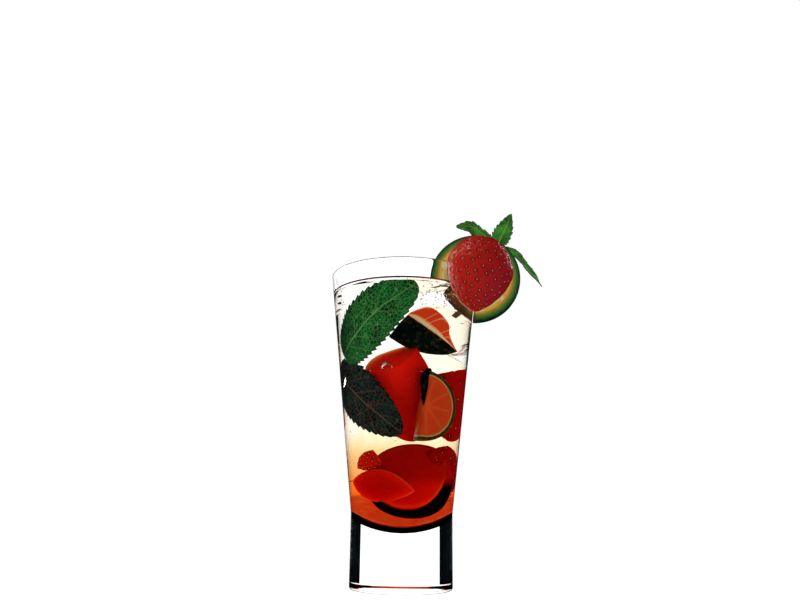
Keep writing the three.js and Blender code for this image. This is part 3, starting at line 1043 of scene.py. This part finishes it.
def mint_leaf(name, blade, dark, vein, net, cell, light_through, gloss=0.02):
    """Mint leaf: green blade with paler side veins and a fine net, and light from behind. Only a leaf in air
    has any gloss: in the drink there is next to none, because water and leaf are alike."""
    material, tree, output = new_material(name)
    flat = add(tree, "CombineXYZ", {0: mark(tree, "mm_along"), 1: mark(tree, "mm_across")}).outputs[0]
    warp = add(tree, "TexNoise", {"Vector": flat, "Scale": 0.35, "Detail": 2.0})
    tone = add(tree, "TexNoise", {"Vector": flat, "Scale": 0.12, "Detail": 3.0})
    bent = add(tree, "Mix", {0: 0.12, 4: flat, 5: warp.outputs["Color"]}, data_type="VECTOR")
    cells = {"Vector": bent.outputs[1], "Scale": 1 / cell}
    borders = add(tree, "TexVoronoi", cells, feature="DISTANCE_TO_EDGE")
    near = {"Value": borders.outputs[0], "From Min": 0.0, "From Max": 0.09, "To Min": 1.0, "To Max": 0.0}
    threads = add(tree, "MapRange", near)
    blade_colour = ramp(tree, tone.outputs[0], [(0.35, dark), (0.65, blade)])
    netted = mixed(tree, maths(tree, "MULTIPLY", threads.outputs[0], net), blade_colour, linear(vein))
    veined = mixed(tree, mark(tree, "vein"), netted, linear(vein))
    outer = {"Value": mark(tree, "edge"), "From Min": 0.93, "From Max": 1.0, "To Max": 0.8}
    margin = add(tree, "MapRange", outer)
    # The margin is darker, and painted shade darkens the blade where the point attribute marks it.
    darker = maths(tree, "MAXIMUM", margin.outputs[0], mark(tree, "painted_shade"))
    colour = mixed(tree, darker, veined, linear(dark))
    furrows = {"Strength": 0.5, "Distance": 0.0003, "Height": threads.outputs[0]}
    relief = add(tree, "Bump", furrows, invert=True)
    gloss_and_relief = {"Specular IOR Level": gloss, "Normal": relief.outputs[0]}
    body = add(tree, "BsdfPrincipled", {"Base Color": colour, "Roughness": 0.42} | gloss_and_relief)
    lit_from_behind(tree, output, body, colour, light_through)
    return material


# %% [markdown]
# Three leaves spread from the top of the sprig: one to the left, one upwards and one down to the right.

# %% The sprig on the rim
SPRIG = {
    "mint_leaf_1": dict(
        midrib=[(50.9, 8.0, 186.0), (45.4, 7.6, 192.0), (38.2, 5.0, 195.6), (29.3, 1.5, 194.4)],
        side=(0.1, 0.5, 0.86),
        width=14.5,
        fold=0.22,
        power=0.75,
    ),
    "mint_leaf_2": dict(
        midrib=[(53.6, 8.7, 186.0), (56.0, 10.5, 191.5), (59.6, 12.0, 199.0), (62.4, 12.5, 206.8)],
        side=(0.93, 0.2, -0.3),
        width=11.4,
        fold=0.3,
        power=0.7,
    ),
    "mint_leaf_3": dict(
        midrib=[(54.7, 7.6, 183.8), (61.0, 8.2, 181.6), (68.8, 6.4, 172.4), (77.2, 4.0, 160.0)],
        side=(0.42, 0.78, 0.47),
        width=11.0,
        fold=0.2,
    ),
}
sprig_green = mint_leaf("fresh mint leaf", "46b040", "0e5a26", "b4d862", 0.4, 1.3, 0.5, gloss=0.4)
for node, leaf in SPRIG.items():
    points, faces, attributes = sprig_leaf(**leaf)
    blade = make_piece(node.replace("mint", "sprig"), points, faces, attributes)
    finish_piece(blade, sprig_green, "mint_leaf", node)

# %% [markdown]
# Mint is known by its square stem. Its section is a rounded square, carried along a curve that leans on
# the rim and ends in the drink. Three short stalks join the stem's top to the leaves.

# %% The stem
STEM_KNOTS = [(18.5, 11.0, 142.5), (38.6, 8.5, 166.4), (52.4, 7.0, 183.4)]
STEM_RADIUS = 1.1
STALK_RADIUS = 0.65
INTO_LEAF = 0.15  # share of the first stretch of a midrib that its stalk covers


def rounded_square_tube(knots, radius, rows=90, columns=24):
    """A tube: knots' curve plus radius (cos a, sin a) / (|cos a|^4 + |sin a|^4)^(1/4) across it."""
    t = np.linspace(0, 1, rows)
    centre = smooth_path(knots, t)
    along = unit(np.gradient(centre, axis=0))
    side = unit(np.cross(along, (0, 1, 0)))
    out = np.cross(along, side)
    a = np.linspace(0, 2 * np.pi, columns, endpoint=False)
    swell = 0.93 * radius / (np.abs(np.cos(a)) ** 4 + np.abs(np.sin(a)) ** 4) ** 0.25
    ring = side[:, None] * (swell * np.cos(a))[:, None] + out[:, None] * (swell * np.sin(a))[:, None]
    tube = centre[:, None] + ring * (1 - 0.12 * t[:, None, None])
    caps = [np.broadcast_to(tube[i].mean(0), (1, columns, 3)) for i in (0, -1)]
    return np.concatenate([caps[0], tube, caps[1]])


def mint_stem():
    """Mint stem: fibrous green with a faint red flush along its ridges, stained brown below the surface."""
    material, tree, output = new_material("mint stem")
    place = add(tree, "TexCoord").outputs["Object"]
    stretch = add(tree, "Mapping", {"Vector": place, "Scale": (900, 900, 60)})
    fibre = add(tree, "TexNoise", {"Vector": stretch.outputs[0], "Scale": 1.0, "Detail": 3.0})
    fresh = ramp(tree, fibre.outputs[0], [(0.3, "3c7a2e"), (0.6, "79a44a"), (0.85, "8a5a3a")])
    dry = maths(tree, "GREATER_THAN", axes(tree)[2], DRINK_LEVEL * MM)
    colour = mixed(tree, dry, linear("6a5a2c"), fresh)
    body = add(tree, "BsdfPrincipled", {"Base Color": colour, "Roughness": 0.45})
    tree.links.new(body.outputs[0], output.inputs["Surface"])
    return material


tubes = [rounded_square_tube(STEM_KNOTS, STEM_RADIUS)]
for leaf in SPRIG.values():
    base, ahead = np.array(leaf["midrib"][:2])
    stalk = [STEM_KNOTS[-1], base + INTO_LEAF * (ahead - base)]
    tubes.append(rounded_square_tube(stalk, STALK_RADIUS))
faces = repeated(grid_faces(*tubes[0].shape[:2], around=True), tubes[0][..., 0].size, len(tubes))
stem = make_piece("sprig_stem", np.concatenate(tubes), faces)
finish_piece(stem, mint_stem(), "mint_stem", "mint_stem")

# %% [markdown]
# ## Leaves under the surface
# Two large leaves cling to the inside of the wall. A flat leaf is laid out in millimetres first, along and
# across its midrib, and then wrapped: the one direction runs round the glass, the other up the wall.

# %% Wrap a leaf on the wall
SUNK_TOOTH_DEPTH = 0.07
SHADE_FROM = -24.0  # mm on X: left of it a sunk leaf is in the dark
SHADE_WIDTH = 7.0


def wall_leaf(rib, width, teeth, power, rows=221, columns=81, off=0.9, seed=3):
    """rib: knots (degrees round the glass, height). Points lie `off` mm inside the wall, plus quilting and
    waves, and below the surface. `width` is the full width, and a lower `power` gives a blunter leaf."""
    t = np.linspace(0, 1, rows)
    knots = np.asarray(rib, float)
    mean_radius = inner_radius(knots[:, 1].mean()) - off
    flat = np.stack([np.radians(knots[:, 0]) * mean_radius, knots[:, 1]], -1)
    centre = smooth_path(flat, t)
    along = unit(np.gradient(centre, axis=0))
    across = np.stack([-along[:, 1], along[:, 0]], -1)
    v = np.linspace(-1, 1, columns)
    half = np.maximum(0.3, width / 2 * leaf_width(t[:, None], power))
    tooth = SUNK_TOOTH_DEPTH * (1.6 * ((t[:, None] * teeth + 0.2 * np.sign(v)) % 1.0) - 0.6)
    reach = half * (1 + tooth * np.clip((np.abs(v) - 0.8) / 0.2, 0, 1))
    length = np.linalg.norm(np.diff(centre, axis=0), axis=1).sum()
    plane = centre[:, None] + across[:, None] * (v * reach)[..., None]
    plane[..., 1] = np.minimum(plane[..., 1], DRINK_LEVEL - 0.5)
    veins = vein_lines(t[:, None], v + 0 * t[:, None], width / 2)
    level = uneven(np.concatenate([plane, plane[..., :1] * 0], -1), 16, seed)
    quilt = 0.35 * (1 - veins) * (1 - np.abs(v) ** 6) + 0.45 * level
    skins = []
    for shift in (0.0, 0.4):
        radius = inner_radius(plane[..., 1]) - off - 0.6 + quilt - shift
        angle = plane[..., 0] / mean_radius
        skins.append(np.stack([radius * np.cos(angle), radius * np.sin(angle), plane[..., 1]], -1))
    points, faces = close_sheet(*skins)
    marks = leaf_marks(t[:, None], v, veins, length, reach)
    # Painted shade: a sunk leaf gets darker on the left of the glass.
    marks["painted_shade"] = 0.85 * np.clip((SHADE_FROM - points[:, 0]) / SHADE_WIDTH, 0, 1)
    return points, faces, marks


# %% [markdown]
# The upper leaf is still green. The lower one is bruised and nearly black, with brown veins.

# %% The two sunk leaves
UPPER_RIB = [(-158, 115.9), (-137, 125.4), (-110, 137.4), (-80, 149.4)]
LOWER_RIB = [(-184, 108), (-157, 100.5), (-124, 87.5), (-91, 75)]

points, faces, attributes = wall_leaf(UPPER_RIB, 31, 17, 0.42)
upper_leaf = make_piece("sunk_leaf_upper", points, faces, attributes)
upper_green = mint_leaf("soaked mint leaf", "067a32", "023a1c", "9ae080", 0.5, 1.5, 0.45)
finish_piece(upper_leaf, upper_green, "mint_leaf")

points, faces, attributes = wall_leaf(LOWER_RIB, 29, 16, 0.5, off=2.2, seed=8)
lower_leaf = make_piece("sunk_leaf_lower", points, faces, attributes)
lower_green = mint_leaf("bruised mint leaf", "08302a", "031418", "8a5a48", 0.34, 1.6, 0.25)
finish_piece(lower_leaf, lower_green, "mint_leaf")

# %% [markdown]
# ## Fruit under the surface
# Under water lie a lime wedge, a half slice and a whole slice of lime, and pieces of strawberry. The juice
# has stained all of them red, so their limes get a stained version of the lime material.

# %% Stained materials
stained_lime = lime_flesh(
    "stained lime",
    [
        (0.0, "cc3c10"),
        (0.5, "c4360c"),
        (0.80, "c43c0c"),
        (0.855, "c04a1a"),
        (0.875, "c89a60"),
        (0.90, "2e3210"),
        (0.975, "2c3012"),
        (1.0, "56603a"),
    ],
    "d05a28",
    "a02008",
    glow=0.5,
    coat=0.1,
    lines=0.3,
)
steeped_lime = lime_flesh(
    "steeped lime",
    [
        (0.0, "e0180a"),
        (0.4, "e0180a"),
        (0.78, "e61e0c"),
        (0.90, "f4482a"),
        (0.94, "a0180c"),
        (0.965, "120a08"),
        (1.0, "040404"),
    ],
    "d01e10",
    # colour of the painted shade on the wheel's upper part
    "b40a08",
    glow=0.5,
    coat=0.0,
    lines=0.06,
)
wedge_lime = lime_flesh(
    "wedge of lime",
    [
        (0.0, "f0481c"),
        (0.60, "ea4414"),
        (0.70, "f8a868"),
        (0.80, "ffdcac"),
        (0.955, "f8bc80"),
        (0.985, "4a3a1c"),
        (1.0, "04100c"),
    ],
    "fcc8a4",
    "7a1408",
    glow=0.5,
    coat=0.0,
    lines=0.5,
)
soaked_berry = ripe_strawberry(
    "soaked strawberry",
    [(0.0, "dc180a"), (0.4, "b40a06"), (0.7, "a40806"), (1.0, "960a08")],
    [(0.0, "dc1408"), (1.0, "d41408")],
    glow=0.5,
    coat=0.0,
)
slice_berry = ripe_strawberry(
    "strawberry slice",
    [(0.0, "c8180a"), (1.0, "9c0806")],
    # the paler orange at the rim of the slice is a painted highlight
    [(0.0, "b80c08"), (0.6, "c00e08"), (0.9, "d81c0e"), (1.0, "ec5034")],
    glow=0.4,
    coat=0.0,
)


# %% [markdown]
# Soft fruit gives way to the glass. What would pass the wall is pressed flat against it.

# %% The sunk slices and wedge
def pressed(points, gap=0.4):
    """Limits the radius of points to that of the bowl, less a gap, and keeps them off its floor."""
    height = np.maximum(points[..., 2:], BOWL_FLOOR + 1)
    radius = np.linalg.norm(points[..., :2], axis=-1, keepdims=True)
    shrink = np.minimum(1, bowl_radius(height, gap) / np.maximum(radius, 1e-6))
    return np.concatenate([points[..., :2] * shrink, height], -1)


def straight(angle):
    """The same angle at every radius."""
    return lambda r: np.full_like(r, np.radians(angle))


def lime_wedge(outline, rows=110):
    """A wedge on a straight near edge. `outline` has rows (place along the edge, height of the cut face
    above it, depth of the rind below it). Each section is a closed loop of (up, back): the cut face leans
    back from the edge, and a smooth curve of rind goes round behind it and comes up in front."""
    along, height, depth = smooth_path(outline, np.linspace(0, 1, rows)).T
    zero = 0 * along
    face_top = np.stack([height, 0.78 * height], -1)
    behind = np.stack([0.35 * height - 0.3 * depth, 0.78 * height + 0.45 * depth], -1)
    lowest = np.stack([-depth, 0.45 * depth], -1)
    in_front = np.stack([-0.55 * depth, -0.1 * depth], -1)
    edge = np.stack([zero, zero], -1)
    v = np.linspace(0, 1, 40, endpoint=False)
    face = face_top[:, None] * v[:, None]
    weights = smooth_path(np.eye(5), np.linspace(0, 1, 60, endpoint=False))
    rind = np.einsum("tk,nkd->ntd", weights, np.stack([face_top, behind, lowest, in_front, edge], 1))
    loop = np.concatenate([face, rind], 1)
    points = np.concatenate([np.broadcast_to(along[:, None, None], (*loop.shape[:2], 1)), loop], -1)
    caps = [np.broadcast_to(points[i].mean(0), (1, *points.shape[1:])) for i in (0, -1)]
    across = np.concatenate([np.maximum(0.97 - 1.2 * v, 0.25), np.ones(60)])
    bent = along + 1.6 * np.sin(0.6 * along + 1)
    phase = (bent[:, None] / 5.2 - 0.7 * np.append(v, np.ones(60))) % 1.0
    dips = 1 - np.exp(-((np.minimum(phase, 1 - phase) / 0.08) ** 2))
    share = np.broadcast_to(across, (rows + 2, len(across)))
    dips = np.concatenate([dips[:1], dips, dips[-1:]])
    points = np.concatenate([caps[0], points, caps[1]])
    return points, grid_faces(rows + 2, len(across), around=True), {"share": share, "dip": dips}


WEDGE_PLACE = (1.7, -18.5, 136.6)
WEDGE_SLOPE = 37.3  # degrees downwards to the right
points, faces, shares = lime_wedge(
    [
        (0, 2.0, 13.6),
        (3.3, 10.1, 13.6),
        (9.7, 10.9, 13.2),
        (16.8, 8.6, 11.2),
        (20.9, 4.6, 9.2),
        (26.3, 1.6, 5.5),
        (31.2, 0.1, 0.1),
    ]
)
points = placed(points[..., [0, 2, 1]], WEDGE_PLACE, (0, WEDGE_SLOPE, 0))
wedge = make_piece("sunk_lime_wedge", pressed(points), faces, shares)
finish_piece(wedge, wedge_lime, "lime")

points, faces, shares = lime_slice(17.8, 6, straight(-90), straight(90), dip=0.3, seed=21)
points = upright(points, (8.7, -18.0, 89.8), (0, 9, 39))
half_slice = make_piece("sunk_lime_half", pressed(points), faces, shares)
finish_piece(half_slice, stained_lime, "lime")

points, faces, shares = lime_slice(19.3, 9.5, straight(0), straight(360), dip=0.15, full=True, seed=31)
points = upright(points, (4.0, -8.0, 52.8), (-28, 6, -12))
# Painted shade: the upper part of the sunk wheel is turned a darker red.
shares["painted_shade"] = np.clip((points[..., 2] - 50) / 5, 0, 1)
wheel = make_piece("sunk_lime_wheel", pressed(points), faces, shares)
finish_piece(wheel, steeped_lime, "lime")

# %% [markdown]
# Four cut strawberries float among the limes, and a slice of one lies in front, near the bottom.

# %% The sunk strawberries
def sunk_berry(name, size, centre, turn, cut, slant, seeds, seed, taper=0.35):
    """A cut strawberry under water, with its seeds. `turn` is in degrees, `cut` and `slant` in radians."""
    points, faces, shares = berry_body(
        size, seeds, taper, hollow=0.0, rows=120, columns=180, cut=cut, slant=slant, seed=seed
    )
    body = make_piece(name, pressed(placed(points, centre, turn)), faces, shares)
    finish_piece(body, soaked_berry, "strawberry")
    if not seeds:
        return
    points, faces = berry_seeds(size, seeds, taper, hollow=0.0, first=cut)
    grains = make_piece(name + "_seeds", pressed(placed(points, centre, turn), 0.3), faces)
    finish_piece(grains, husk, "strawberry")


SUNK_BERRIES = {
    "sunk_berry_large": dict(
        size=(29, 26, 62),
        centre=(-1.6, -5.7, 100.5),
        turn=(32, -13, 0),
        cut=1.02,
        slant=0.14,
        seeds=0,
        seed=41,
        taper=0.12,
    ),
    "sunk_berry_right": dict(
        size=(25, 24, 46),
        centre=(18.2, 3.0, 97.0),
        turn=(6, 0, 0),
        cut=1.0,
        slant=0.15,
        seeds=60,
        seed=43,
    ),
    "sunk_berry_left": dict(
        size=(10, 10, 14),
        centre=(-14.7, -12.0, 62.5),
        turn=(10, 60, 0),
        cut=0.9,
        slant=0.0,
        seeds=60,
        seed=45,
    ),
    "sunk_berry_low": dict(
        size=(16, 16, 26),
        centre=(17.5, -3.0, 60.0),
        turn=(0, -20, 0),
        cut=0.7,
        slant=0.0,
        seeds=50,
        seed=47,
    ),
}
for name, berry in SUNK_BERRIES.items():
    sunk_berry(name, **berry)


def berry_slice(length, width, thickness, rows=60, columns=120):
    """A pointed slice: an egg outline with half width w sin(pi t)^0.75 (1.15 - 0.45 t), faces rounded."""
    u = np.linspace(0, 2 * np.pi, columns, endpoint=False)
    lengthwise = length / 2 * np.cos(u)
    t = (1 + np.cos(u)) / 2
    half = width / 2 * np.maximum(np.sin(np.pi * (1 - t)), 0) ** 0.75 * (1.15 - 0.45 * t)
    outline = np.stack([lengthwise, half * np.sign(np.sin(u)), 0 * u], -1)
    s = np.linspace(0, np.pi, rows)[:, None, None]
    shrink = np.sin(s) ** 0.35
    points = outline[None] * shrink
    points[..., 2] = thickness / 2 * np.cos(s[..., 0]) + 0 * u
    share = np.broadcast_to(shrink[..., 0] * 0.98, points.shape[:2])
    return points, grid_faces(rows, columns, around=True), {"share": share}


points, faces, shares = berry_slice(length=33, width=17, thickness=5)
points = upright(points, (-8.7, -15.9, 49.8), (0, 8, -28))
slice_piece = make_piece("sunk_berry_slice", pressed(points), faces, shares)
finish_piece(slice_piece, slice_berry, "strawberry")

# %% [markdown]
# A small leaf stands on edge between the large berry and the half slice, nearly black with painted shade.

# %% A small leaf on edge
points, faces, attributes = sprig_leaf(
    [(12.0, -16.5, 109), (10.2, -19, 103), (10.0, -19, 95), (10.6, -16.5, 87.5)], (0.6, 0.8, 0.0), 8, 0.1
)
small_leaf = make_piece("sunk_leaf_small", points, faces, attributes)
# Painted shade: the leaf's near-black colours stand for a shaded gap.
dark_green = mint_leaf("mint leaf in painted shade", "030a08", "010304", "0e1812", 0.3, 1.4, 0.1)
finish_piece(small_leaf, dark_green, "mint_leaf")

# %% [markdown]
# Muddled strawberries leave pulp, which settles on the round bottom and slumps to one side. Light that comes
# from behind goes through it and makes it glow.

# %% Pulp on the bottom
PULP_MIDDLE = 38.5  # height of its top on the axis
PULP_TILT = 8.5  # how much lower it lies in front, and higher behind
PULP_INSET = 0.5


def settled_pulp(rows=40, columns=160):
    """A bed in the bowl: up along the bowl to the height m + h sin a, then in over a tilted wavy top."""
    a = np.linspace(0, 2 * np.pi, columns, endpoint=False)
    t = np.linspace(0, 1, rows)[:, None]
    lowest = BOWL_FLOOR + PULP_INSET
    shore = PULP_MIDDLE + PULP_TILT * np.sin(a)
    wall_height = lowest + (shore - lowest) * t**2
    wall_radius = bowl_radius(wall_height, PULP_INSET)
    height = np.concatenate([wall_height, shore + (PULP_MIDDLE - shore) * t[1:]])
    radius = np.concatenate([wall_radius, wall_radius[-1] * (1 - t[1:])])
    points = np.stack([radius * np.cos(a), radius * np.sin(a), height], -1)
    points[rows:, :, 2] += 0.7 * uneven(points[rows:], 9, 17) * np.minimum(t[1:] * 6, 1)
    return points, grid_faces(len(points), columns, around=True)


def strawberry_pulp():
    """Strawberry pulp: soft, mottled orange red, half of its light from behind."""
    material, tree, output = new_material("strawberry pulp")
    colour = ramp(tree, noise(tree, 240.0, 4.0), [(0.3, "ff9468"), (0.7, "ffd0b0")])
    body = add(tree, "BsdfPrincipled", {"Base Color": colour, "Roughness": 0.5, "Specular IOR Level": 0.1})
    lit_from_behind(tree, output, body, colour, 0.5)
    return material


points, faces = settled_pulp()
finish_piece(make_piece("settled_pulp", points, faces), strawberry_pulp(), "strawberry")

# %% [markdown]
# ## Ice and bubbles
# Ice cubes that have begun to melt are rounded blocks. In the drink they bend light only a little, because
# ice and water are nearly alike, so one sees soft wavy edges more than blocks. A superellipsoid gives the
# rounded block, and unevenness gives the melted faces.

# %% Ice
ICE_POWER = 0.42  # 1 gives a ball, 0 a sharp block
ICE_INDEX = 1.012  # against the drink, not against air


def ice_block(size, seed, rows=70, columns=110):
    """A rounded block: x = a s(cos v) s(cos u) and so on. s takes the ice power and keeps the sign."""
    v = np.linspace(-np.pi / 2, np.pi / 2, rows)[:, None]
    u = np.linspace(-np.pi, np.pi, columns, endpoint=False)
    ball = np.stack([np.cos(v) * np.cos(u), np.cos(v) * np.sin(u), np.sin(v) + 0 * u], -1)
    factors = np.stack([np.cos(v) + 0 * u, np.cos(v) + 0 * u, np.ones((rows, columns))], -1)
    turns = ball / np.maximum(factors, 1e-9)
    points = np.abs(factors) ** ICE_POWER * np.sign(turns) * np.abs(turns) ** ICE_POWER
    points *= np.asarray(size) / 2
    return points * (1 + 0.05 * uneven(points, 14, seed) + 0.012 * uneven(points, 4, seed + 1))[..., None]


def melting_ice(name, tint):
    """Ice in a drink: their indices are nearly the same, so only its uneven skin bends light a little."""
    material, tree, output = new_material(name)
    relief = add(tree, "Bump", {"Strength": 0.8, "Distance": 0.001, "Height": noise(tree, 260.0, 5.0)})
    body = clear_body(tree, linear(tint), ICE_INDEX, roughness=0.02, Normal=relief.outputs[0])
    clear_through(tree, output, body, linear(tint))
    return material


AIR_INDEX = 0.75  # against the drink


def air_bubble():
    """Air in the drink: seen from the water its index is 0.75, so its rim mirrors and shows as a ring."""
    material, tree, output = new_material("air bubble")
    body = clear_body(tree, linear("ffffff"), AIR_INDEX)
    clear_through(tree, output, body, linear("ffffff"))
    return material


ICE = [
    ((24, 24, 22), (15.0, 6.0, 134.0), (10, 20, 30)),
    ((24, 22, 24), (-12.0, 4.0, 132.0), (-15, 10, 60)),
    ((22, 16, 20), (-12.0, -6.0, 107.0), (20, -10, 15)),
    ((22, 22, 20), (12.0, 12.0, 112.0), (5, 40, 20)),
    ((20, 20, 18), (-16.0, -2.0, 72.0), (12, 25, 40)),
    ((17, 17, 18), (12.0, 12.0, 70.0), (30, 5, 10)),
]
clear_ice = melting_ice("melting ice", "ffffff")
stained_ice = melting_ice("lime stained ice", "fff6e4")
for k, (size, centre, turn) in enumerate(ICE):
    points = pressed(placed(ice_block(size, 60 + 2 * k), centre, turn))
    cube = make_piece(f"ice_cube_{k + 1}", points, grid_faces(*points.shape[:2], around=True))
    finish_piece(cube, stained_ice if k in (0, 3) else clear_ice, "drink")

# %% [markdown]
# Small bubbles sit on the wall and on the fruit, and they crowd where the ice meets the surface. One large
# bubble clings to the wall in front of the big strawberry.

# %% Bubbles
BUBBLE_CELLS = (9, 12)
LARGE_CELLS = (24, 32)
LARGE_SIZE = (2.8, 1.6, 2.3)  # half its width, depth and height
LARGE_PLACE = (-8.2, -27.5, 107.7)
SWARMS = [
    # count, degrees round the glass, height, radius, distance from the wall
    (60, (-180, 0), (45, 148), (0.2, 0.5), (0.3, 1.0)),
    (60, (0, 180), (45, 148), (0.2, 0.5), (0.3, 1.0)),
    (110, (-88, -38), (140, 150.3), (0.15, 0.5), (0.5, 14.0)),
    (25, (-172, -120), (143, 150.3), (0.15, 0.35), (0.5, 8.0)),
    (90, (-52, -12), (42, 64), (0.2, 0.5), (0.4, 3.0)),
    (25, (20, 160), (140, 150.3), (0.15, 0.4), (0.5, 12.0)),
]


def ball(cells):
    """A ball of radius one: (sin v cos u, sin v sin u, cos v)."""
    v = np.linspace(0, np.pi, cells[0])[:, None]
    u = np.linspace(0, 2 * np.pi, cells[1], endpoint=False)
    return np.stack([np.sin(v) * np.cos(u), np.sin(v) * np.sin(u), np.cos(v) + 0 * u], -1).reshape(-1, 3)


def swarm(count, degrees, heights, radii, offs, seed):
    """Centres and radii of bubbles that lie at random between the given bounds."""
    draw = np.random.default_rng(seed)
    a = np.radians(draw.uniform(*degrees, count))
    z = draw.uniform(*heights, count)
    size = draw.uniform(*radii, count)
    r = bowl_radius(z, 0) - size - draw.uniform(*offs, count)
    return np.stack([r * np.cos(a), r * np.sin(a), z], -1), size


swarms = [swarm(*row, seed=70 + k) for k, row in enumerate(SWARMS)]
centres = np.concatenate([centre for centre, size in swarms])
sizes = np.concatenate([size for centre, size in swarms])
points = centres[:, None] + ball(BUBBLE_CELLS) * sizes[:, None, None]
faces = repeated(grid_faces(*BUBBLE_CELLS, around=True), points.shape[1], len(points))
air = air_bubble()
finish_piece(make_piece("air_bubbles", points, faces), air, "drink")

points = ball(LARGE_CELLS) * LARGE_SIZE + LARGE_PLACE
finish_piece(make_piece("large_bubble", points, grid_faces(*LARGE_CELLS, around=True)), air, "drink")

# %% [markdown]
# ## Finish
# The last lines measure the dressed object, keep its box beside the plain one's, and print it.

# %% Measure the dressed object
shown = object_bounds()
sizes = {"cad": [list(corner) for corner in cad_box], "shown": [list(corner) for corner in shown]}
print("box", [np.round(np.array(corner) / MM, 1).tolist() for corner in shown])
